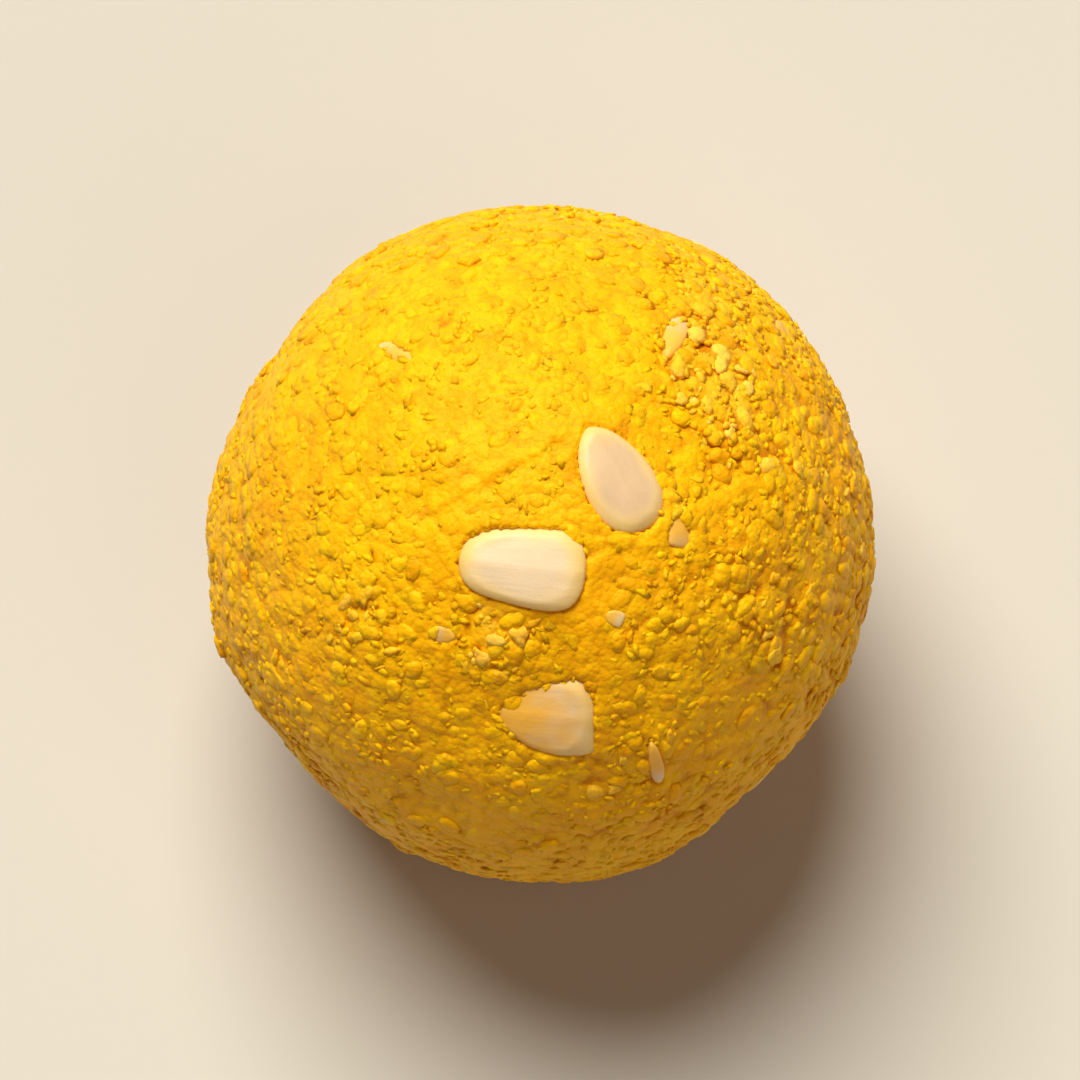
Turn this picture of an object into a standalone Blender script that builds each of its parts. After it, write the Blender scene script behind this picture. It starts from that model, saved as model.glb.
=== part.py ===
# Motichoor ladoo: one hand-rolled ball of fine boondi, settled on a small flat spot.
# Metres, +Z up. The origin is the middle of the flat underside, below the box's centre.
# Run it with: blender --background --python part.py

import math
import random

import bmesh
import bpy
from mathutils import Vector, noise

# Driving dimensions of the ball
WIDTH = 0.0464            # side to side, before the palms press it
DEPTH = 0.0474            # front to back
ROUND_HEIGHT = 0.0450     # top to bottom, before the underside is cut flat
REST_SPOT = 0.0150        # diameter of the flat underside
RIM_MERGE = 0.0004        # slivers shorter than this are closed up round the flat underside
CUT_TOLERANCE = 0.000001
SAG = 0.018               # how much fuller the lower half is than the upper half
BALL_LEVEL = 3            # icosphere level that the ball starts from: 320 faces
BALL_CUTS = 4             # cuts along each of its edges: 8,000 faces, about 1.3 mm long

# Flats left by the palms: compass angle, height angle (degrees), how deep they press
PALM_FLATS = (
    (222.0, -4.0, 0.0009),
    (314.0, -12.0, 0.0008),
    (146.0, 8.0, 0.0005),
    (38.0, -16.0, 0.0006),
    (92.0, -24.0, 0.0008),
    (262.0, 52.0, 0.0004),
    (70.0, 60.0, 0.0005),
)
FLAT_BLEND = 0.0016       # how softly a flat runs into the round
FLAT_REACH = 0.2          # a flat acts where a direction's cosine to it is more than this

# Broad unevenness of a ball rolled by hand
SWELL_HEIGHT = 0.00042
SWELL_SCALE = 1.7         # swells across one radius
SWELL_OFFSET = Vector((3.1, -1.7, 5.2))

# Clusters of boondi that stand proud, and the dimples between them
CLUSTER_COUNT = 420
CLUSTER_RADIUS = (0.0017, 0.0032)
CLUSTER_HEIGHT = (-0.00026, 0.00036)
CLUSTER_NUDGE = 1.6       # how far a cluster strays, in units of one over the root of the count
CLUSTER_SEED = 41
DIMPLES = (               # compass angle, height angle, radius, depth
    (250.0, 18.0, 0.0026, 0.00045),
    (338.0, 34.0, 0.0022, 0.00040),
    (120.0, -12.0, 0.0028, 0.00050),
    (18.0, 8.0, 0.0024, 0.00040),
    (196.0, 30.0, 0.0021, 0.00035),
)

DOUGH_COLOUR = (0.86, 0.47, 0.015, 1.0)
DOUGH_ROUGHNESS = 0.52


def clear_scene():
    for old in list(bpy.data.objects):
        bpy.data.objects.remove(old, do_unlink=True)


def direction_at(compass, height):
    """Unit vector at a compass angle from +X towards +Y and a height angle, in degrees."""
    turn = math.radians(compass)
    lift = math.radians(height)
    return Vector((math.cos(lift) * math.cos(turn), math.cos(lift) * math.sin(turn), math.sin(lift)))


def soft_min(first, second, blend):
    """The smaller of two lengths, rounded over where they are within blend of each other."""
    share = max(0.0, min(1.0, 0.5 + 0.5 * (second - first) / blend))
    return second + (first - second) * share - blend * share * (1.0 - share)


def rounded_radius(way):
    """Radius of the settled ball along a direction, before the palms press it."""
    across = (way.x / (WIDTH / 2)) ** 2 + (way.y / (DEPTH / 2)) ** 2 + (way.z / (ROUND_HEIGHT / 2)) ** 2
    level = math.sqrt(max(0.0, 1.0 - way.z * way.z))
    return (1.0 - SAG * way.z * level) / math.sqrt(across)


def pressed_radius(way, radius):
    for compass, height, depth in PALM_FLATS:
        facing = direction_at(compass, height)
        toward = way.dot(facing)
        if toward > FLAT_REACH:
            plane = rounded_radius(facing) - depth
            radius = soft_min(radius, plane / toward, FLAT_BLEND)
    return radius


def spiral_directions(count, rng):
    """Directions spread evenly over a sphere on a spiral, each nudged a little."""
    golden = math.pi * (3.0 - math.sqrt(5.0))
    nudge = CLUSTER_NUDGE / math.sqrt(count)
    for index in range(count):
        z = 1.0 - 2.0 * (index + 0.5) / count
        level = math.sqrt(1.0 - z * z)
        way = Vector((level * math.cos(golden * index), level * math.sin(golden * index), z))
        shift = Vector((rng.uniform(-nudge, nudge) for _ in range(3)))
        yield (way + shift).normalized()


def surface_bumps():
    """Every cluster and dimple as (direction, angular radius, height)."""
    rng = random.Random(CLUSTER_SEED)
    mean_radius = (WIDTH + DEPTH + ROUND_HEIGHT) / 6
    bumps = []
    for way in spiral_directions(CLUSTER_COUNT, rng):
        reach = rng.uniform(*CLUSTER_RADIUS) / mean_radius
        bumps.append((way, reach, rng.uniform(*CLUSTER_HEIGHT)))
    for compass, height, radius, depth in DIMPLES:
        bumps.append((direction_at(compass, height), radius / mean_radius, -depth))
    return bumps


def bump_height(way, bumps):
    total = 0.0
    for facing, reach, height in bumps:
        apart = (way - facing).length_squared / (reach * reach)
        if apart < 1.0:
            total += height * (1.0 - apart) ** 2
    return total


def swell_height(way):
    return SWELL_HEIGHT * noise.noise(way * SWELL_SCALE + SWELL_OFFSET)


def cut_underside(bm):
    """Cut the bottom off square where the ball is REST_SPOT across, and close it with one flat face."""
    share = REST_SPOT / (WIDTH + DEPTH) * 2
    rest_height = -ROUND_HEIGHT / 2 * math.sqrt(1.0 - share * share)
    everything = bm.verts[:] + bm.edges[:] + bm.faces[:]
    bmesh.ops.bisect_plane(
        bm,
        geom=everything,
        dist=CUT_TOLERANCE,
        plane_co=(0, 0, rest_height),
        plane_no=(0, 0, -1),
        clear_outer=True,
    )
    rim_verts = [vert for vert in bm.verts if vert.is_boundary]
    bmesh.ops.remove_doubles(bm, verts=rim_verts, dist=RIM_MERGE)
    rim_edges = [edge for edge in bm.edges if edge.is_boundary]
    for edge in rim_edges:
        for vert in edge.verts:
            vert.co.z = rest_height
    bmesh.ops.contextual_create(bm, geom=rim_edges)


def seat_on_origin(bm):
    """Centre the box over the origin and put the underside at z = 0."""
    low = Vector([min(vert.co[axis] for vert in bm.verts) for axis in range(3)])
    high = Vector([max(vert.co[axis] for vert in bm.verts) for axis in range(3)])
    bmesh.ops.translate(bm, verts=bm.verts, vec=(-(low.x + high.x) / 2, -(low.y + high.y) / 2, -low.z))


def dough_material():
    material = bpy.data.materials.new("boondi")
    material.use_nodes = True
    shader = material.node_tree.nodes["Principled BSDF"]
    shader.inputs["Base Color"].default_value = DOUGH_COLOUR
    shader.inputs["Roughness"].default_value = DOUGH_ROUGHNESS
    shader.inputs["Metallic"].default_value = 0.0
    return material


def build_ladoo():
    bm = bmesh.new()
    bmesh.ops.create_icosphere(bm, subdivisions=BALL_LEVEL, radius=1.0)
    bmesh.ops.subdivide_edges(bm, edges=bm.edges, cuts=BALL_CUTS, use_grid_fill=True)
    bumps = surface_bumps()
    for vert in bm.verts:
        way = vert.co.normalized()
        radius = pressed_radius(way, rounded_radius(way))
        vert.co = way * (radius + swell_height(way) + bump_height(way, bumps))
    cut_underside(bm)
    seat_on_origin(bm)
    bmesh.ops.recalc_face_normals(bm, faces=bm.faces)

    mesh = bpy.data.meshes.new("ladoo")
    bm.to_mesh(mesh)
    bm.free()
    mesh.materials.append(dough_material())
    mesh.shade_smooth()
    mesh.set_sharp_from_angle(angle=math.radians(40))
    ladoo = bpy.data.objects.new("ladoo", mesh)
    bpy.context.scene.collection.objects.link(ladoo)
    return ladoo


clear_scene()
build_ladoo()
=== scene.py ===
import math
import random

import bmesh
import bpy
import numpy as np
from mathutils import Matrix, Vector, kdtree, noise
from mathutils.bvhtree import BVHTree


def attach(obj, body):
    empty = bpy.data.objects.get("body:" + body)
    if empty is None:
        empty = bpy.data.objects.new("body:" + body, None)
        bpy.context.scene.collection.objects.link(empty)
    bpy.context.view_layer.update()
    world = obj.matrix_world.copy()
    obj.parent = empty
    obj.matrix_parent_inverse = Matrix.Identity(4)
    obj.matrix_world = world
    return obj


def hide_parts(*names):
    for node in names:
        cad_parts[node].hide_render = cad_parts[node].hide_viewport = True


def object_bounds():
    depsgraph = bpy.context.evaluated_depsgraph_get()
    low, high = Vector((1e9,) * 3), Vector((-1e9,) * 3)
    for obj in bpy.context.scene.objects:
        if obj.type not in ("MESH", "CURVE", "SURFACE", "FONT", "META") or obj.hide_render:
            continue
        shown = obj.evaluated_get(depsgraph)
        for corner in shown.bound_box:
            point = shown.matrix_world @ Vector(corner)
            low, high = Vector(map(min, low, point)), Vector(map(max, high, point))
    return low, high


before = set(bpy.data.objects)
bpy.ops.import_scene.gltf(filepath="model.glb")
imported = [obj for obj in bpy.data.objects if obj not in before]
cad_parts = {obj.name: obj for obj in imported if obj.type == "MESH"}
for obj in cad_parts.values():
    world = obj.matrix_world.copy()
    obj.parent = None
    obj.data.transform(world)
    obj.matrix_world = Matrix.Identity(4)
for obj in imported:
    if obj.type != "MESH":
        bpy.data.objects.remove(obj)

# A motichoor ladoo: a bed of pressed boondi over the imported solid, loose grains and pale crumbs of boondi
# on it, and melon seeds pressed into it. Metres, +Z up, the front of the ball at -Y.

cadLow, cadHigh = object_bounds()
middle = (cadLow + cadHigh) / 2
ballRadius = sum(cadHigh - cadLow) / 6
mm = 0.001
mergeGap = 0.01 * mm


# Directions and places on the ball

def wayTo(compass, height):
    # unit vector, compass from +X towards +Y and height above level, in degrees
    turn, lift = math.radians(compass), math.radians(height)
    return Vector((math.cos(lift) * math.cos(turn), math.cos(lift) * math.sin(turn), math.sin(lift)))


def solidTree(node):
    # the CAD solid as a tree that rays can hit
    bm = bmesh.new()
    bm.from_mesh(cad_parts[node].data)
    bmesh.ops.remove_doubles(bm, verts=bm.verts, dist=mergeGap)
    tree = BVHTree.FromBMesh(bm)
    bm.free()
    return tree


solid = solidTree("ladoo")

thumbMarks = [
    # compass, height, reach, and depth in the middle (less than 0 is a swelling)
    (5, 61, 4.4 * mm, 0.55 * mm),
    (19, 66, 2.3 * mm, 0.45 * mm),
    (1, 42, 2.4 * mm, -0.35 * mm),
    (301, 67, 2.8 * mm, 0.28 * mm),
    (257, 53, 3.4 * mm, -0.35 * mm),
    (223, 41, 3.4 * mm, -0.35 * mm),
]
marksEnd = 3                 # how many reaches away a thumb mark has died out
poleWidth = 0.05             # nearer a pole than this, up the ball isn't taken from +Z
noiseDrift = (1, 0.7, -1)    # the way that one pattern of noise lies from another
steepest = 30                # keeps the exponent of a very high or low grain in range
tiny = 1e-6                  # keeps a division by nothing away


def skinAt(way):
    # where a ray from the middle leaves the CAD solid, pressed in or swelling a little at the thumb marks
    hit = solid.ray_cast(middle, way)[0]
    place = hit if hit is not None else middle + way * ballRadius
    for compass, height, reach, depth in thumbMarks:
        apart = (way - wayTo(compass, height)).length * ballRadius / reach
        if apart < marksEnd:
            place = place - way * depth * math.exp(-apart ** 2)
    return place


def sideWays(way, turn=0.0):
    # two level directions on the skin at a way: across and up as seen from outside, then turned
    up = Vector((0, 0, 1)) - way * way.z
    if up.length < poleWidth:
        up = Vector((0, 1, 0)) - way * way.y
    up.normalize()
    right = up.cross(way).normalized()
    angle = math.radians(turn)
    return right * math.cos(angle) + up * math.sin(angle), up * math.cos(angle) - right * math.sin(angle)


def spreadWays(count, stray, rng):
    # directions spread over the ball on a spiral, each strayed a little
    golden = math.pi * (3 - math.sqrt(5))
    spacing = math.sqrt(4 * math.pi / count)
    ways = []
    for index in range(count):
        z = 1 - 2 * (index + 0.5) / count
        level = math.sqrt(1 - z * z)
        way = Vector((level * math.cos(golden * index), level * math.sin(golden * index), z))
        ways.append((way + Vector([rng.gauss(0, 1) for _ in range(3)]) * stray * spacing).normalized())
    return ways


def ease(low, high, values):
    # smooth step from 0 at low to 1 at high
    share = np.clip((np.asarray(values) - low) / (high - low), 0, 1)
    return share * share * (3 - 2 * share)


def noiseAt(points, size, offset=0.0):
    # soft noise with bumps of about a size, and another pattern for each offset
    shift = Vector([part * offset for part in noiseDrift])
    return np.array([noise.noise(Vector(point) / size + shift) for point in points])


def pressed(height, limit, blend):
    # heights eased down to the level that the palm left
    return limit - blend * np.log1p(np.exp(np.clip((limit - height) / blend, -steepest, steepest)))


# Shader maths written as sums: a Wire is one output socket

class Wire:
    def __init__(self, tree, socket=None):
        self.tree = tree
        self.socket = socket

    def node(self, kind, settings, sockets, output=0):
        made = self.tree.nodes.new(kind)
        for name, value in settings.items():
            setattr(made, name, value)
        for name, value in sockets.items():
            if isinstance(value, Wire):
                self.tree.links.new(value.socket, made.inputs[name])
            else:
                made.inputs[name].default_value = value
        return Wire(self.tree, made.outputs[output])

    def maths(self, operation, first, second):
        return self.node("ShaderNodeMath", {"operation": operation}, {0: first, 1: second})

    def fade(self, first, second):
        # the first colour where this wire is 0, the second where it is 1
        return self.node("ShaderNodeMix", {"data_type": "RGBA"}, {0: self, 6: first, 7: second}, output=2)

    def between(self, low, high):
        settings = {"interpolation_type": "SMOOTHSTEP"}
        return self.node("ShaderNodeMapRange", settings, {"Value": self, "From Min": low, "From Max": high})

    def __add__(self, other):
        return self.maths("ADD", self, other)

    def __sub__(self, other):
        return self.maths("SUBTRACT", self, other)

    def __rsub__(self, other):
        return self.maths("SUBTRACT", other, self)

    def __mul__(self, other):
        return self.maths("MULTIPLY", self, other)

    __radd__ = __add__
    __rmul__ = __mul__


def shared(wires, shares):
    # several wires added up, each by its share
    parts = [wires[name] * share for name, share in shares.items()]
    total = parts[0]
    for part in parts[1:]:
        total = total + part
    return total


def startMaterial(name, shaderValues):
    material = bpy.data.materials.new(name)
    material.use_nodes = True
    tree = material.node_tree
    shader = tree.nodes["Principled BSDF"]
    for socket, value in shaderValues.items():
        shader.inputs[socket].default_value = value
    return material, tree, shader


def readSurface(tree, names):
    # the piece's own coordinates, and one wire for each attribute that its mesh carries
    start = Wire(tree)
    place = start.node("ShaderNodeTexCoord", {}, {}, output="Object")
    wires = {}
    for name in names:
        wires[name] = start.node("ShaderNodeAttribute", {"attribute_name": name}, {}, output="Fac")
    return place, wires


def noiseWire(place, size, detail, roughness):
    # noise whose patches are about a size across
    sockets = {"Vector": place, "Scale": 1 / size, "Detail": detail, "Roughness": roughness}
    return place.node("ShaderNodeTexNoise", {}, sockets)


def domeWire(place, size, bend, drifting=0.8, detail=1.0):
    # round domes about a size across that touch each other, their outlines bent by noise
    sockets = {"Vector": place, "Scale": drifting / size, "Detail": detail}
    drift = place.node("ShaderNodeTexNoise", {}, sockets, output="Color")
    sockets = {0: drift, 1: (bend,) * 3, 2: place}
    bent = place.node("ShaderNodeVectorMath", {"operation": "MULTIPLY_ADD"}, sockets)
    sockets = {"Vector": bent, "Scale": 1 / size}
    away = place.node("ShaderNodeTexVoronoi", {"feature": "F1"}, sockets, output="Distance")
    return 1 - away * away


def finishSurface(tree, shader, colour, gloss, relief, bump):
    tree.links.new(colour.socket, shader.inputs["Base Color"])
    tree.links.new(gloss.socket, shader.inputs["Roughness"])
    normal = relief.node("ShaderNodeBump", {}, {"Height": relief, **bump})
    tree.links.new(normal.socket, shader.inputs["Normal"])


boondiPaint = {
    "shader": {
        "Subsurface Weight": 0.30,
        "Subsurface Radius": (1.0, 0.46, 0.06),
        "Subsurface Scale": 0.9 * mm,
        "Specular IOR Level": 0.30,
        "Specular Tint": (1.0, 0.80, 0.28, 1),
        "IOR": 1.45,
    },
    "deep": (0.82, 0.330, 0.0010, 1),      # syrup-soaked boondi, and painted shade in the gaps between grains
    "bright": (0.97, 0.500, 0.0016, 1),    # most of the ball, and painted light on the crowns of its grains
    "pale": (0.99, 0.560, 0.070, 1),       # dry, broken grains
    "shadedHollow": (0.61, 0.205, 0.0010, 1),    # painted shade down between the grains, partly the deeper colour of syrup soaking there
    "noises": {                            # size, detail and roughness
        "patches": (7 * mm, 2.0, 0.55),
        "mottle": (1.9 * mm, 4.0, 0.60),
        "pores": (0.24 * mm, 3.0, 0.60),
        "crystals": (0.11 * mm, 1.0, 0.55),
    },
    "domes": (1.05 * mm, 0.7 * mm),        # size, and how far the outlines are bent
    "grit": (0.42 * mm, 0.25 * mm),
    # tint, mottle and patches are the boondi's own tone; domes and grit add painted light on the grains'
    # crowns and painted shade in the gaps between them
    "toneAndLitCrowns": {"tint": 0.5, "mottle": 0.45, "patches": 0.4, "domes": 0.2, "grit": 0.15},
    "brightRange": (0.38, 1.33),           # from deep to bright
    "dryness": {"dry": 1.0, "pores": 0.6},
    "paleRange": (0.418, 1.476),
    # painted shade: the bed's low places, the lower parts of loose grains, and the gaps between domes and
    # grit
    "paintedCreaseShade": {"shadedHollow": 1.0, "domeGaps": 0.55, "gritGaps": 0.25, "pores": -0.35},
    "hollowRange": (-0.004, 1.254),
    "gloss": 0.42,
    "glossChange": {"pores": 0.26, "dry": 0.14, "shadedHollow": -0.06},
    "relief": {"domes": 1.0, "grit": 0.42, "mottle": 0.2, "pores": 0.2, "crystals": 0.06},
    "bump": {"Strength": 0.6, "Distance": 0.26 * mm},
}


def boondiMaterial(name, look):
    material, tree, shader = startMaterial(name, look["shader"])
    place, wires = readSurface(tree, ("tint", "dry", "shadedHollow"))
    for part, values in look["noises"].items():
        wires[part] = noiseWire(place, *values)
    wires["domes"] = domeWire(place, *look["domes"])
    wires["grit"] = domeWire(place, *look["grit"])
    wires["domeGaps"] = 1 - wires["domes"]
    wires["gritGaps"] = 1 - wires["grit"]

    # own tone plus painted light on the crowns and painted shade in the gaps
    bright = shared(wires, look["toneAndLitCrowns"]).between(*look["brightRange"])
    colour = bright.fade(look["deep"], look["bright"])
    colour = shared(wires, look["dryness"]).between(*look["paleRange"]).fade(colour, look["pale"])
    # painted shade in the creases and hollows between the grains
    colour = shared(wires, look["paintedCreaseShade"]).between(*look["hollowRange"]).fade(colour, look["shadedHollow"])
    gloss = look["gloss"] + shared(wires, look["glossChange"])
    finishSurface(tree, shader, colour, gloss, shared(wires, look["relief"]), look["bump"])
    return material


seedPaint = {
    "shader": {
        "Subsurface Weight": 0.2,
        "Subsurface Radius": (1.0, 0.7, 0.4),
        "Subsurface Scale": 0.8 * mm,
        "Specular IOR Level": 0.4,
        "IOR": 1.46,
    },
    "kernel": (0.79, 0.595, 0.400, 1),
    "shade": (0.65, 0.430, 0.250, 1),
    "rim": (0.86, 0.590, 0.210, 1),
    "stain": (0.88, 0.450, 0.055, 1),      # syrup soaked in from the pointed end
    "streaks": (0.40 * mm, 4.0, 0.60),     # size, detail and roughness, along the seed
    "noises": {                            # and of the noises that don't follow it
        "clouds": (2.2 * mm, 3.0, 0.55),
        "fine": (0.20 * mm, 2.0, 0.55),
    },
    "shading": {"clouds": 0.6, "streaks": 0.4, "tone": 0.7},
    "shadeRange": (0.40, 1.45),
    "rimming": {"edge": 1.0, "clouds": 0.7},
    "rimRange": (0.50, 1.25),
    "staining": {"stain": 1.0, "clouds": 0.9},
    "stainRange": (0.617, 1.506),
    "gloss": 0.36,
    "glossChange": {"clouds": 0.16, "streaks": 0.10},
    "relief": {"streaks": 0.6, "fine": 0.3, "clouds": 0.4},
    "bump": {"Strength": 0.45, "Distance": 0.10 * mm},
}


def seedMaterial(name, look):
    material, tree, shader = startMaterial(name, look["shader"])
    place, wires = readSurface(tree, ("stain", "edge", "tone"))
    along = place.node("ShaderNodeAttribute", {"attribute_name": "lengthwise"}, {}, output="Vector")
    wires["streaks"] = noiseWire(along, *look["streaks"])
    for part, values in look["noises"].items():
        wires[part] = noiseWire(place, *values)

    colour = shared(wires, look["shading"]).between(*look["shadeRange"]).fade(look["kernel"], look["shade"])
    colour = shared(wires, look["rimming"]).between(*look["rimRange"]).fade(colour, look["rim"])
    colour = shared(wires, look["staining"]).between(*look["stainRange"]).fade(colour, look["stain"])
    gloss = look["gloss"] + shared(wires, look["glossChange"])
    finishSurface(tree, shader, colour, gloss, shared(wires, look["relief"]), look["bump"])
    return material


def addPiece(name, mesh, material, body="root"):
    mesh.name = name
    mesh.shade_smooth()
    mesh.materials.append(material)
    piece = bpy.data.objects.new(name, mesh)
    bpy.context.scene.collection.objects.link(piece)
    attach(piece, body)
    print(f"{name}: {len(mesh.polygons)} faces")
    return piece


def storeValues(mesh, name, values):
    # one value for each point of the mesh, for its material to read
    layer = mesh.attributes.new(name, "FLOAT", "POINT")
    layer.data.foreach_set("value", np.ascontiguousarray(values, dtype=np.float32).ravel())


# Melon seeds: where each lies, how it is turned, and how far it is sunk

seedShape = {
    "length": 8.6 * mm,
    "width": 5.0 * mm,
    "thickness": 1.6 * mm,
    "thinning": 3.0,          # power by which the upper face falls towards the edge
    "taper": 0.12,            # how much wider the blunt half is
    "pointPower": 1.9,        # fullness of the pointed half, to which bluntness adds
    "pointRound": 0.68,       # sharpness of its tip
    "pointBlunt": 0.15,       # how much of that bluntness takes away
    "backPower": 2.1,         # fullness of the other half
    "backBlunt": 2.2,         # how much bluntness adds to it
    "backRound": 0.5,
    "narrowest": 0.2 * mm,
    "rim": 0.05 * mm,         # a faint raised line inside the edge
    "rimAt": 0.80,
    "rimWide": 0.10,
    "linesEnd": 0.97,         # neither the rim nor the ridge runs out past this
    "ridge": 0.05 * mm,       # along the middle
    "ridgeWide": 0.5 * mm,
    "dents": 0.07 * mm,
    "dentSize": 2.4 * mm,
    "waver": 0.08,            # how far the outline strays from even
    "waverSize": 0.9,         # in half lengths of the seed
    "waverAcross": 0.3,       # how fast the waver changes across the seed
    "wrap": 0.50,             # 0 stays flat, 1 follows the ball
    "proud": 0.30 * mm,       # how far the middle of the top of a seed with a proud of 1 is over the skin
    "reach": 4 * mm,          # how deep under the skin its place still counts
    "level": 5,               # icosphere level
    "chipLevel": 3,
}

# how the bed and the loose grains make room for a seed
seedSeat = {
    "covered": -0.25 * mm,    # boondi lies over the upper face where that is deeper than this
    "under": 0.42 * mm,       # the bed stays this far under the upper face
    "collar": 0.13 * mm,      # boondi heaped round the edge
    "collarWide": (1.45, 1.10),
    "collarTop": (-0.7 * mm, -0.2 * mm),
    "grainEdge": 1.03,        # no loose grain starts nearer than this
    "grainUnder": 0.12 * mm,
}

seedColumns = (
    "compass", "height", "turn",    # where it lies, and how it is turned there
    "size", "broad", "blunt",       # against a usual seed
    "cut",                          # how much of its blunt half is left
    "proud", "tilt", "dip",         # how far it stands out, and how it leans sideways and lengthways
    "stain", "tone",
)
seedPlaces = [
    (347, 75.5, 44, 0.95, 1.12, 0.15, 1.00, 1.1, 3, 0, 0.06, 1.0),
    (260.5, 70, 183, 1.03, 1.05, 1.40, 1.00, 1.7, 6, -1, 0.00, 0.0),
    (273.5, 42, 176, 1.05, 1.14, 0.15, 0.60, 0.9, 8, -7, 0.80, 0.3),
    (232, -33, 65, 0.96, 1.00, 0.30, 1.00, 0.7, 4, 0, 0.15, 0.6),
    (322, -27, 155, 1.02, 0.95, 0.10, 1.00, 0.6, -6, 4, 0.30, 0.5),
    (8, -37, 20, 0.90, 1.04, 0.50, 1.00, 0.5, 8, -6, 0.45, 0.8),
    (63, -3, 135, 1.00, 1.05, 0.60, 1.00, 0.8, -4, 0, 0.10, 0.7),
    (118, -29, 35, 0.94, 1.00, 0.40, 1.00, 0.5, 9, -6, 0.50, 0.4),
    (166, -16, 160, 0.90, 1.08, 0.80, 0.70, 0.4, -9, -10, 0.80, 0.6),
]
chipPlaces = [
    (48, 50, 112, 0.66, 0.55, 0.40, 0.80, -0.1, 9, 3, 1.00, 0.6),
    (335, 61, 20, 0.34, 1.15, 0.20, 0.80, -0.4, 9, -5, 1.40, 0.6),
    (139, 53, 98, 0.50, 0.60, 0.40, 1.00, -0.5, 3, 0, 1.30, 0.4),
    (37, 20, 70, 0.36, 1.10, 0.40, 0.80, -0.1, -6, 4, 1.10, 0.6),
    (240, 53, 20, 0.20, 1.20, 0.50, 0.80, 0.1, 4, 0, 1.00, 0.6),
    (296, 58, 130, 0.17, 1.30, 0.60, 0.80, 0.4, 0, 0, 1.00, 0.3),
    (293, 28, 87, 0.50, 0.40, 0.40, 1.00, 0.6, 0, 0, 1.40, 0.2),
]

# further chips, low down all round the ball
moreChips = {
    "seed": 73,
    "count": 10,
    "stray": 0.35,
    "height": (-62, -4),
    "turn": (0, 180),
    "size": (0.16, 0.42),
    "broad": (0.6, 1.35),
    "blunt": (0, 1),
    "cut": (0.6, 1.0),
    "proud": (-0.7, 0.2),
    "tilt": (-8, 8),
    "dip": (-8, 8),
    "stain": (0.7, 1.3),
    "tone": (0, 1),
}


def strewChips():
    rng = random.Random(moreChips["seed"])
    places = []
    for index in range(moreChips["count"]):
        compass = 360 * (index + rng.uniform(-moreChips["stray"], moreChips["stray"])) / moreChips["count"]
        places.append((compass, *[rng.uniform(*moreChips[column]) for column in seedColumns[1:]]))
    return places


def seedFrames(places, level):
    frames = []
    for values in places:
        seed = dict(zip(seedColumns, values), level=level)
        seed["way"] = wayTo(seed["compass"], seed["height"])
        seed["at"] = skinAt(seed["way"])
        seed["along"], seed["across"] = sideWays(seed["way"], seed["turn"])
        seed["lift"] = seed["proud"] * seedShape["proud"]
        seed["tilt"] = math.tan(math.radians(seed["tilt"]))
        seed["dip"] = math.tan(math.radians(seed["dip"]))
        frames.append(seed)
    return frames


def seedHalfWidth(seed, share):
    # half the seed's width at a share of its half length: pointed at +1, round or blunt at -1
    share = np.clip(share, -1, 1)
    pointPower = seedShape["pointPower"] + seed["blunt"]
    pointRound = seedShape["pointRound"] - seedShape["pointBlunt"] * seed["blunt"]
    point = (1 - np.clip(share, 0, 1) ** pointPower) ** pointRound
    backPower = seedShape["backPower"] + seedShape["backBlunt"] * seed["blunt"]
    back = (1 - np.clip(-share, 0, 1) ** backPower) ** seedShape["backRound"]
    taper = 1 - seedShape["taper"] * share
    return seedShape["width"] * seed["broad"] / 2 * np.where(share > 0, point, back) * taper


def seedTop(away):
    # height of the upper face under its crown, from the middle (0) to the edge (1)
    return -seedShape["thickness"] / 2 * (1 - np.sqrt(np.clip(1 - away ** seedShape["thinning"], 0, 1)))


wholeSeeds = seedFrames(seedPlaces, seedShape["level"])
chips = seedFrames(chipPlaces + strewChips(), seedShape["chipLevel"])


def seedCover(points):
    # for each seed: its size, the points near it, how far out each lies on it (1 at the edge),
    # and the height of its upper face there
    for seed in wholeSeeds + chips:
        apart = points - np.array(seed["at"])
        along = apart @ np.array(seed["along"]) / seed["size"]
        across = apart @ np.array(seed["across"]) / seed["size"]
        near = (apart @ np.array(seed["way"])) > -seedShape["reach"]
        share = along / (seedShape["length"] / 2)
        shift = (1 - seed["cut"]) / 2
        asked = (share - shift) / (1 - shift)
        halfWidth = np.maximum(seedHalfWidth(seed, share), seedShape["narrowest"])
        away = np.sqrt(asked ** 2 + (across / halfWidth) ** 2 * (1 - np.clip(asked, -1, 1) ** 2))
        curve = (along ** 2 + across ** 2) * seed["size"] ** 2 / (2 * ballRadius) * (1 - seedShape["wrap"])
        slope = (across * seed["tilt"] + along * seed["dip"]) * seed["size"]
        yield seed["size"], near, away, seed["lift"] + seedTop(away) * seed["size"] + slope + curve


def underSeeds(points, height):
    # presses the bed down under each seed and heaps it a little round the edge
    for size, near, away, top in seedCover(points):
        inside = near & (away < 1) & (top > seedSeat["covered"])
        height = np.where(inside, np.minimum(height, top - seedSeat["under"] * size), height)
        collar = ease(*seedSeat["collarWide"], away) * ease(*seedSeat["collarTop"], top)
        height = height + near * (away >= 1) * collar * seedSeat["collar"] * size
    return height


def clearOfSeeds(points, tops):
    # True where no seed lies over a grain whose crown is at this height
    clear = np.ones(len(points), dtype=bool)
    for _, near, away, top in seedCover(points):
        clear &= ~(near & (away < seedSeat["grainEdge"]) & (top > tops - seedSeat["grainUnder"]))
    return clear


# The bed of boondi

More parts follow.
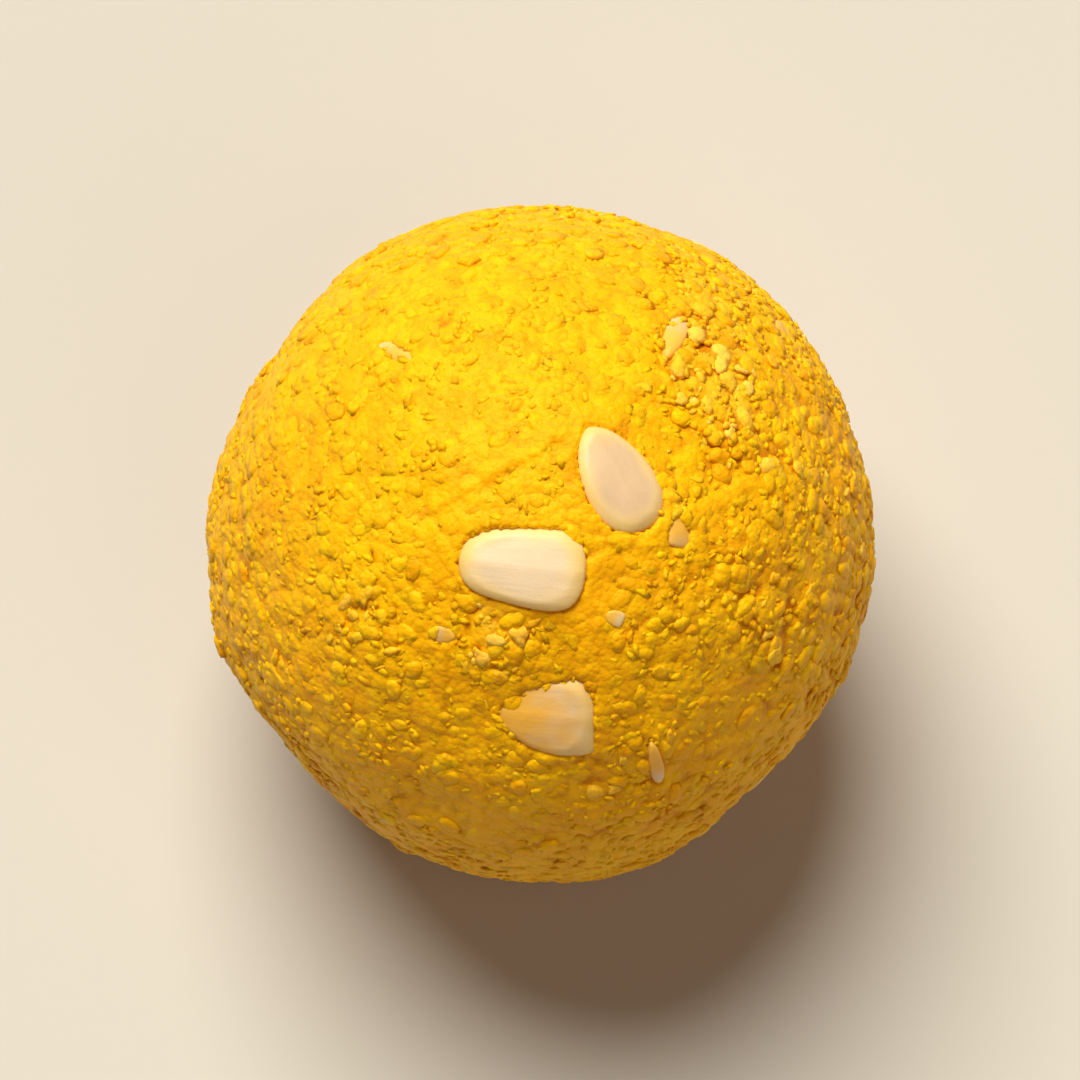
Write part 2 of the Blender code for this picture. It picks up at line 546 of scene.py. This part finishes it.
clumpBed = {
    "seed": 37,
    "count": 620,
    "radius": (1.4 * mm, 2.7 * mm),
    "stretch": (1.0, 1.8),
    "drop": 0.30 * mm,           # from the crown to the edge
    "lift": (-0.12 * mm, 0.12 * mm),
    "stray": 0.35,
    "dryShare": 0.0,
    "blend": 0.05 * mm,
}

grainBed = {
    "seed": 11,
    "count": 3500,
    "radius": (0.58 * mm, 1.12 * mm),
    "stretch": (1.0, 1.8),
    "drop": 0.25 * mm,
    "lift": (-0.12 * mm, 0.07 * mm),
    "stray": 0.30,
    "dryShare": 0.0,
    "blend": 0.025 * mm,
}

finesBed = {
    "seed": 23,
    "count": 12000,
    "radius": (0.30 * mm, 0.50 * mm),
    "stretch": (1.0, 1.4),
    "drop": 0.14 * mm,
    "lift": (-0.24 * mm, -0.10 * mm),
    "stray": 0.30,
    "dryShare": 0.0,
    "blend": 0.02 * mm,
}

bodyShape = {
    "level": 6,                  # icosphere level that the ball starts from
    "cuts": 2,                   # cuts along each of its edges
    "evened": 30,                # rounds of smoothing that take the solid's facets out
    "evening": 0.5,              # and the strength of each
    "clumpShare": 0.6,
    "clumpMiddle": -0.05 * mm,   # the clumps' usual height
    "clumpTint": 0.45,           # how much of the tint is the clump's
    "wobble": 0.30,              # how uneven the outlines of grains are
    "wobbleSize": 0.9 * mm,
    "finesBlend": 0.03 * mm,
    "palmTop": 0.10 * mm,        # the palms press crowns down to about here
    "palmBlend": 0.05 * mm,
    "roughHeight": 0.045 * mm,
    "roughSize": 0.7 * mm,
    "crumblyDry": 0.40,          # how much drier and paler the bed is where it is crumbly
    "darkDry": 0.4,              # how much of that its deepest coloured grains get
    # heights between which the bed's low places take painted shade
    "shadedHollow": (-0.08 * mm, -0.28 * mm),
}

# where the palm has smoothed the grains together
smearShape = {
    "usual": 0.34,
    "vary": 0.6,
    "size": 7 * mm,
    "full": 0.95,
    "crumblyTo": 0.30,           # less smeared than this is crumbly
    "depth": 0.62,
    "level": -0.03 * mm,
}
palmSpots = [
    # compass, height, reach in degrees, and how far the palm smoothed it there (less than 0 is crumbly)
    (128, 60, 50, 0.90),
    (310, 48, 24, 0.75),
    (176, 45, 26, 0.60),
    (33, 52, 16, -0.50),
    (9, 53, 13, -0.55),
    (212, 40, 13, -0.65),
    (252, 53, 12, -0.55),
    (334, 37, 11, -0.50),
    (294, 29, 11, -0.45),
    (262, 10, 30, 0.45),
    (200, 12, 24, 0.35),
    (237, 34, 18, 0.55),
    (352, 40, 14, 0.40),
]

dryRange = (0.5, 1.0)            # how dry a dry grain is
nearGrains = 7                   # how many grains can show at one place


def layBed(bed):
    # every grain of a bed: its place, its long and cross ways, its sizes and its colour
    rng = random.Random(bed["seed"])
    ways = spreadWays(bed["count"], bed["stray"], rng) + [wayTo(*spot) for spot in bed.get("spots", ())]
    grains = []
    for way in ways:
        radius = rng.uniform(*bed["radius"])
        stretch = math.sqrt(rng.uniform(*bed["stretch"]))
        longWay, crossWay = sideWays(way, rng.uniform(0, 180))
        grains.append({
            "at": tuple(skinAt(way)),
            "way": tuple(way),
            "longWay": tuple(longWay),
            "crossWay": tuple(crossWay),
            "long": radius * stretch,
            "wide": radius / stretch,
            "lift": rng.uniform(*bed["lift"]),
            "tint": rng.random(),
            "dry": rng.uniform(*dryRange) if rng.random() < bed["dryShare"] else 0.0,
        })
    return {name: np.array([grain[name] for grain in grains]) for name in grains[0]}


def bedHeights(bed, grains, points, wobble):
    # height of the bed over the skin at each point, and the colour of the grains that show there
    tree = kdtree.KDTree(len(grains["at"]))
    for index, place in enumerate(grains["at"]):
        tree.insert(place, index)
    tree.balance()
    near = np.array([[found[1] for found in tree.find_n(point, nearGrains)] for point in points])
    apart = points[:, None, :] - grains["at"][near]
    along = (apart * grains["longWay"][near]).sum(2) / grains["long"][near]
    across = (apart * grains["crossWay"][near]).sum(2) / grains["wide"][near]
    away = np.sqrt(along ** 2 + across ** 2) * (1 + wobble[:, None])
    caps = grains["lift"][near] - bed["drop"] * (1 - np.sqrt(np.clip(1 - away ** 2, 0, 1)))
    caps = caps - bed["drop"] * np.clip(away - 1, 0, None)
    top = caps.max(1)
    share = np.exp((caps - top[:, None]) / bed["blend"])
    total = share.sum(1)
    tint = (share * grains["tint"][near]).sum(1) / total
    dry = (share * grains["dry"][near]).sum(1) / total
    return top + bed["blend"] * np.log(total), tint, dry


def smearAt(points, ways):
    # 1 where the palm has smoothed the grains together, 0 where they stand clear
    smoothness = smearShape["usual"] + noiseAt(points, smearShape["size"], offset=4.0) * smearShape["vary"]
    for compass, height, reach, strength in palmSpots:
        apart = np.degrees(np.arccos(np.clip(ways @ np.array(wayTo(compass, height)), -1, 1)))
        smoothness = smoothness + strength * np.exp(-(apart / reach) ** 2)
    return ease(0.0, smearShape["full"], smoothness)


def crumblyAt(smear):
    # 1 where the ball is at its roughest, 0 where the palm has smoothed it
    return 1 - ease(0.0, smearShape["crumblyTo"], smear)


clumps = layBed(clumpBed)
boondi = layBed(grainBed)
fines = layBed(finesBed)


def swellAt(points, wobble):
    # the soft lumps under the grains, and their tint
    clump, tint, _ = bedHeights(clumpBed, clumps, points, wobble)
    return bodyShape["clumpShare"] * (clump - bodyShape["clumpMiddle"]), tint


def bedSurface(points, ways):
    # height over the skin, tint and dryness at each point, and how low it lies, which the material paints
    # in shade
    wobble = noiseAt(points, bodyShape["wobbleSize"], offset=1.0) * bodyShape["wobble"]
    coarse, tint, dry = bedHeights(grainBed, boondi, points, wobble)
    fine, fineTint, fineDry = bedHeights(finesBed, fines, points, wobble)
    swell, clumpTint = swellAt(points, wobble)
    showsFine = ease(-bodyShape["finesBlend"], bodyShape["finesBlend"], fine - coarse)
    tint = tint + (fineTint - tint) * showsFine
    dry = dry + (fineDry - dry) * showsFine
    tint = tint * (1 - bodyShape["clumpTint"]) + clumpTint * bodyShape["clumpTint"]
    height = pressed(np.maximum(coarse, fine) + swell, bodyShape["palmTop"], bodyShape["palmBlend"])
    smear = smearAt(points, ways)
    dry = np.clip(dry + crumblyAt(smear) * bodyShape["crumblyDry"] * (bodyShape["darkDry"] + tint), 0, 1)
    height = height + (smearShape["level"] - height) * smear * smearShape["depth"]
    height = height + noiseAt(points, bodyShape["roughSize"], offset=7.0) * bodyShape["roughHeight"]
    # the last mask marks the low places for painted shade
    return height, {"tint": tint, "dry": dry, "shadedHollow": ease(*bodyShape["shadedHollow"], height)}


def buildBody(name, material):
    bm = bmesh.new()
    bmesh.ops.create_icosphere(bm, subdivisions=bodyShape["level"], radius=1.0)
    bmesh.ops.subdivide_edges(bm, edges=bm.edges, cuts=bodyShape["cuts"], use_grid_fill=True)
    for vert in bm.verts:
        vert.co = skinAt(vert.co.normalized())
    everyAxis = {"use_axis_x": True, "use_axis_y": True, "use_axis_z": True}
    for _ in range(bodyShape["evened"]):
        bmesh.ops.smooth_vert(bm, verts=bm.verts, factor=bodyShape["evening"], **everyAxis)
    points = np.array([tuple(vert.co) for vert in bm.verts])
    ways = [(vert.co - middle).normalized() for vert in bm.verts]
    height, painted = bedSurface(points, np.array([tuple(way) for way in ways]))
    height = underSeeds(points, height)
    for index, vert in enumerate(bm.verts):
        vert.co = Vector(points[index]) + ways[index] * height[index]
        vert.co.z = max(vert.co.z, 0.0)
    mesh = bpy.data.meshes.new(name)
    bm.to_mesh(mesh)
    bm.free()
    for part, values in painted.items():
        storeValues(mesh, part, values)
    return addPiece(name, mesh, material)


# Loose grains on the bed: whole pearls, broken bits, fines, and dry crumbs

pearlKind = {
    "seed": 51,
    "count": 2450,
    "level": 2,                  # icosphere level
    "radius": (0.48 * mm, 0.95 * mm),
    "stretch": (1.0, 1.6),
    "tall": 0.54,                # half height over radius
    "lumps": 0.20,
    "lift": (-0.40 * mm, -0.22 * mm),
    "loose": 0.10 * mm,          # how far some lie proud of the others
    "stray": 0.32,
    "dryShare": 0.04,
}

bitKind = {
    "seed": 52,
    "count": 9000,
    "level": 1,
    "radius": (0.24 * mm, 0.48 * mm),
    "stretch": (1.1, 2.4),
    "tall": 0.62,
    "lumps": 0.30,
    "lift": (-0.28 * mm, -0.12 * mm),
    "loose": 0.10 * mm,
    "stray": 0.34,
    "dryShare": 0.08,
}

fineKind = {
    "seed": 53,
    "count": 7000,
    "level": 1,
    "radius": (0.15 * mm, 0.30 * mm),
    "stretch": (1.0, 2.0),
    "tall": 0.70,
    "lumps": 0.25,
    "lift": (-0.20 * mm, -0.07 * mm),
    "loose": 0.10 * mm,
    "stray": 0.50,
    "dryShare": 0.12,
}

crumbKind = {
    "seed": 54,
    "count": 60,
    "level": 2,
    "radius": (0.38 * mm, 0.70 * mm),
    "stretch": (1.0, 2.2),
    "tall": 0.50,
    "lumps": 0.42,
    "lift": (-0.12 * mm, 0.02 * mm),
    "loose": 0.10 * mm,
    "stray": 0.60,
    "dryShare": 1.0,
    "spots": (                   # compass and height of crumbs in the crumbly patches
        (296, 59), (297, 32), (294, 29), (294, 25), (311, 31), (284, 25), (287, 31), (237, 52), (256, 56),
        (253, 52), (249, 49), (268, 60), (215, 49), (216, 37), (211, 33), (224, 45), (12, 53), (6, 56),
        (3, 43), (338, 39), (327, 34), (356, 60), (27, 60), (38, 65), (33, 48), (340, 29), (230, 45),
        (213, 45), (221, 42), (259, 49), (263, 57), (275, 60), (354, 43), (4, 38), (30, 44),
    ),
}

grainPress = {
    "looseTop": 0.17 * mm,       # crowns are pressed to here where the ball is rough
    "smoothTop": 0.04 * mm,      # and to here where the palm smoothed it
    "blend": 0.04 * mm,
    "smoothSink": 0.06 * mm,     # how much deeper the grains lie there
    "smoothDamp": 0.7,           # and how much less dry they are
    "crumblyDry": 0.6,           # how dry and pale the brightest grains are where it is crumbly
    "lowest": 0.6 * mm,          # no loose grain has its middle nearer the floor
    "floorGap": 0.05 * mm,
    # heights over the bed between which the lower part of a grain takes painted shade
    "shadedHollow": (-0.02 * mm, -0.30 * mm),
    "hollowFrom": 0.05 * mm,
}
lumpShape = {"scale": 1.1, "shift": (1.7, 2.3, 3.1), "gain": 2}
mapShape = {"name": "OFBake", "underside": -0.2, "disc": 0.5, "corner": 0.06, "cornerDisc": 0.04}


def mapBall(bm):
    # unwraps a unit ball: its upper side as a disc, and its hidden underside small in a corner
    layer = bm.loops.layers.uv.new(mapShape["name"])
    for face in bm.faces:
        upper = face.calc_center_median().z > mapShape["underside"]
        for loop in face.loops:
            x, y, z = loop.vert.co
            out = math.sqrt(max(0.0, (1 - z) / 2)) / max(tiny, math.hypot(x, y)) * mapShape["disc"]
            at, scale = (0.5, out) if upper else (mapShape["corner"], mapShape["cornerDisc"])
            loop[layer].uv = (at + x * scale, at + y * scale)


def spreadMap(mesh, count):
    # gives each copy its own square of the map
    layer = mesh.uv_layers[mapShape["name"]]
    places = np.empty(len(mesh.loops) * 2, dtype=np.float32)
    layer.uv.foreach_get("vector", places)
    side = math.ceil(math.sqrt(count))
    squares = np.stack([np.arange(count) % side, np.arange(count) // side], 1)
    places = (places.reshape(count, -1, 2) + squares[:, None, :]) / side
    layer.uv.foreach_set("vector", places.astype(np.float32).ravel())


def manyBalls(level, count):
    # a mesh of many unit balls, all at the middle, from one ball and an array
    bm = bmesh.new()
    bmesh.ops.create_icosphere(bm, subdivisions=level, radius=1.0)
    mapBall(bm)
    single = bpy.data.meshes.new("ball")
    bm.to_mesh(single)
    bm.free()
    holder = bpy.data.objects.new("ball", single)
    bpy.context.scene.collection.objects.link(holder)
    array = holder.modifiers.new("copies", "ARRAY")
    array.count = count
    array.use_relative_offset = False
    mesh = bpy.data.meshes.new_from_object(holder.evaluated_get(bpy.context.evaluated_depsgraph_get()))
    bpy.data.objects.remove(holder)
    bpy.data.meshes.remove(single)
    spreadMap(mesh, count)
    return mesh


def buildGrains(name, kind, material):
    grains = layBed(kind)
    smear = smearAt(grains["at"], grains["way"])
    swell, _ = swellAt(grains["at"], np.zeros(len(grains["at"])))
    rng = random.Random(kind["seed"])
    loose = np.array([rng.random() ** 2 for _ in smear]) * kind["loose"] * (1 - smear)
    rest = grains["lift"] + loose + swell * (1 - smear * smearShape["depth"])
    rest = rest - smear * grainPress["smoothSink"]
    limit = grainPress["looseTop"] + (grainPress["smoothTop"] - grainPress["looseTop"]) * smear
    tall = np.sqrt(grains["long"] * grains["wide"]) * kind["tall"]
    tops = pressed(rest + tall, limit, grainPress["blend"])
    kept = clearOfSeeds(grains["at"], tops) & (grains["at"][:, 2] > grainPress["lowest"])
    grains.update(smear=smear, swell=swell, rest=rest, limit=limit, tall=tall)
    # the kept grains, each value shaped to spread over the points of its ball
    grains = {part: values[kept].reshape(kept.sum(), 1, -1) for part, values in grains.items()}
    count = int(kept.sum())

    mesh = manyBalls(kind["level"], count)
    places = np.empty(len(mesh.vertices) * 3, dtype=np.float32)
    mesh.vertices.foreach_get("co", places)
    unit = places.reshape(count, -1, 3).astype(float)
    shifts = np.arange(count)[:, None, None] * np.array(lumpShape["shift"])
    lumps = noiseAt((unit * lumpShape["scale"] + shifts).reshape(-1, 3), size=1.0).reshape(count, -1, 1)
    unit = unit * (1 + lumps * kind["lumps"] * lumpShape["gain"])
    height = pressed(unit[..., 2:] * grains["tall"] + grains["rest"], grains["limit"], grainPress["blend"])
    places = (grains["at"] + grains["longWay"] * (unit[..., :1] * grains["long"])
              + grains["crossWay"] * (unit[..., 1:2] * grains["wide"]) + grains["way"] * height)
    places[..., 2] = np.maximum(places[..., 2], grainPress["floorGap"])
    mesh.vertices.foreach_set("co", places.astype(np.float32).ravel())
    each = np.ones(height.shape)
    dry = grains["dry"] * (1 - grains["smear"] * grainPress["smoothDamp"])
    dry = dry + crumblyAt(grains["smear"]) * grains["tint"] * grainPress["crumblyDry"]
    storeValues(mesh, "tint", each * grains["tint"])
    storeValues(mesh, "dry", each * np.clip(dry, 0, 1))
    # painted shade on the lower part of each grain, down towards the bed
    overBed = height - grains["swell"] + grainPress["hollowFrom"]
    storeValues(mesh, "shadedHollow", ease(*grainPress["shadedHollow"], overBed))
    return addPiece(name, mesh, material)


# what the seeds' material reads from their meshes
seedMarks = {
    "stainAll": 0.1,              # of a seed's own stain, at its blunt end
    "stainTip": 1.3,              # and how much more at its pointed end
    "stainPoint": 0.5,            # the stain that every seed has at its very tip
    "stainPower": 6,
    "edgePower": 2.5,
    "streakStretch": 0.15,        # draws the streaks out along the seed
    "streaksApart": 9 * mm,       # so that no two seeds have the same streaks
}


def drawnOut(seed, number, x, y, z):
    # the points of a unit ball drawn out to a seed: each one's share of the half length, how far out it is
    # (1 at the edge), and its place along, across and up from the seed's own
    share = x * (1 + seed["cut"]) / 2 + (1 - seed["cut"]) / 2
    away = np.sqrt(np.clip(x * x + y * y, 0, 1))
    along = share * seedShape["length"] / 2
    across = y / np.sqrt(np.clip(1 - x * x, tiny, 1)) * seedHalfWidth(seed, share)
    dents = noiseAt(np.stack([along, across, z * mm], 1), seedShape["dentSize"], offset=5.0 + number)
    ridge = seedShape["ridge"] * np.exp(-(across / seedShape["ridgeWide"]) ** 2)
    rim = seedShape["rim"] * np.exp(-((away - seedShape["rimAt"]) / seedShape["rimWide"]) ** 2)
    tall = seedShape["thickness"] / 2 + seedTop(away) + (rim + ridge) * (away < seedShape["linesEnd"])
    up = np.where(z >= 0, 1, -1) * tall - seedShape["thickness"] / 2 + dents * seedShape["dents"]
    outline = np.stack([share, y * seedShape["waverAcross"], np.zeros_like(z)], 1)
    waver = noiseAt(outline, seedShape["waverSize"], offset=9.0 + number) * seedShape["waver"]
    along, across = along * seed["size"], across * seed["size"] * (1 + waver)
    up = up * seed["size"] + seed["lift"] + across * seed["tilt"] + along * seed["dip"]
    return share, away, along, across, up


def seedColours(seed, number, share, away, along, across):
    tip = (1 + share) / 2    # 1 at the pointed end, where the syrup soaks in
    soaked = seed["stain"] * (seedMarks["stainAll"] + seedMarks["stainTip"] * tip)
    apart = np.full(len(along), number * seedMarks["streaksApart"])
    return {
        "stain": soaked + seedMarks["stainPoint"] * tip ** seedMarks["stainPower"],
        "edge": away ** seedMarks["edgePower"],
        "tone": np.full(len(along), seed["tone"]),
        "lengthwise": np.stack([along * seedMarks["streakStretch"], across, apart], 1),
    }


def buildSeeds(name, frames, material):
    bm = bmesh.new()
    painted = []
    for number, seed in enumerate(frames):
        made = bmesh.ops.create_icosphere(bm, subdivisions=seed["level"], radius=1.0)
        x, y, z = np.array([tuple(vert.co) for vert in made["verts"]]).T
        share, away, along, across, up = drawnOut(seed, number, x, y, z)
        for index, vert in enumerate(made["verts"]):
            flat = seed["at"] + seed["along"] * along[index] + seed["across"] * across[index]
            base = flat.lerp(skinAt((flat - middle).normalized()), seedShape["wrap"])
            vert.co = base + (base - middle).normalized() * up[index]
        painted.append(seedColours(seed, number, share, away, along, across))
    mesh = bpy.data.meshes.new(name)
    bm.normal_update()
    bm.to_mesh(mesh)
    bm.free()
    for part in ("stain", "edge", "tone"):
        storeValues(mesh, part, np.concatenate([values[part] for values in painted]))
    lengthwise = np.concatenate([values["lengthwise"] for values in painted])
    layer = mesh.attributes.new("lengthwise", "FLOAT_VECTOR", "POINT")
    layer.data.foreach_set("vector", lengthwise.astype(np.float32).ravel())
    return addPiece(name, mesh, material)


boondiLook = boondiMaterial("pressed boondi", boondiPaint)
seedLook = seedMaterial("melon seed", seedPaint)
body = buildBody("boondi_ball", boondiLook)
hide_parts("ladoo")
buildGrains("boondi_pearls", pearlKind, boondiLook)
buildGrains("boondi_bits", bitKind, boondiLook)
buildGrains("boondi_fines", fineKind, boondiLook)
buildGrains("crumbs", crumbKind, boondiLook)
buildSeeds("melon_seeds", wholeSeeds, seedLook)
buildSeeds("seed_chips", chips, seedLook)


# Floor, lights and camera

stageShape = {
    "radius": 60.0,
    "segments": 96,
    "colour": (0.56, 0.515, 0.48, 1),
    "shader": {"Roughness": 0.85, "Specular IOR Level": 0.2},
}


def buildFloor():
    bm = bmesh.new()
    bmesh.ops.create_circle(bm, cap_ends=True, segments=stageShape["segments"], radius=stageShape["radius"])
    mesh = bpy.data.meshes.new("floor")
    bm.to_mesh(mesh)
    bm.free()
    material, _, shader = startMaterial("pale floor", stageShape["shader"])
    shader.inputs["Base Color"].default_value = stageShape["colour"]
    mesh.materials.append(material)
    floor = bpy.data.objects.new("floor", mesh)
    bpy.context.scene.collection.objects.link(floor)
    print("floor laid")


studio = [
    # name, kind, compass, height, distance, watts (over a square metre from a sun), colour, own settings
    ("key", "SUN", 110, 57, 1.1, 4.8, (1.0, 1.0, 0.87), {"angle": math.radians(40)}),
    ("fill", "AREA", 312, 53, 1.3, 3.1, (1.0, 0.80, 0.60), {"size": 0.9}),
]
worldLight = {"colour": (1.0, 0.83, 0.66, 1), "strength": 0.075, "backdrop": (0.78, 0.71, 0.60, 1)}
cameraView = {"compass": 270, "height": 75, "distance": 0.70, "fill": 0.62, "sensor": 36.0, "clip": 0.01}


def standFacing(thing, way, distance):
    # stands a light or the camera off in a direction, turned to the middle of the ball
    thing.location = middle + way * distance
    thing.rotation_euler = (-way).to_track_quat("-Z", "Y").to_euler()
    bpy.context.scene.collection.objects.link(thing)


def addLights():
    for name, kind, compass, height, distance, watts, colour, settings in studio:
        data = bpy.data.lights.new(name, kind)
        data.energy = watts
        data.color = colour
        for setting, value in settings.items():
            setattr(data, setting, value)
        standFacing(bpy.data.objects.new(name, data), wayTo(compass, height), distance)
        print(f"{name} light set")


def addWorld():
    # a dim soft light all round, and the floor's own colour beyond its edge
    world = bpy.data.worlds.new("studio")
    world.use_nodes = True
    tree = world.node_tree
    start = Wire(tree)
    soft = {"Color": worldLight["colour"], "Strength": worldLight["strength"]}
    around = start.node("ShaderNodeBackground", {}, soft)
    beyond = start.node("ShaderNodeBackground", {}, {"Color": worldLight["backdrop"], "Strength": 1.0})
    seen = start.node("ShaderNodeLightPath", {}, {}, "Is Camera Ray")
    sky = start.node("ShaderNodeMixShader", {}, {0: seen, 1: around, 2: beyond})
    tree.links.new(sky.socket, tree.nodes["World Output"].inputs["Surface"])
    bpy.context.scene.world = world
    print("world light set")


def addCamera():
    data = bpy.data.cameras.new("camera")
    data.sensor_width = cameraView["sensor"]
    seen = (cadHigh.x - cadLow.x) / cameraView["fill"]
    data.lens = cameraView["sensor"] * cameraView["distance"] / seen
    data.clip_start = cameraView["clip"]
    camera = bpy.data.objects.new("camera", data)
    standFacing(camera, wayTo(cameraView["compass"], cameraView["height"]), cameraView["distance"])
    bpy.context.scene.camera = camera
    print("camera set")


buildFloor()
addLights()
addWorld()
addCamera()
bpy.context.scene.view_settings.view_transform = "Standard"
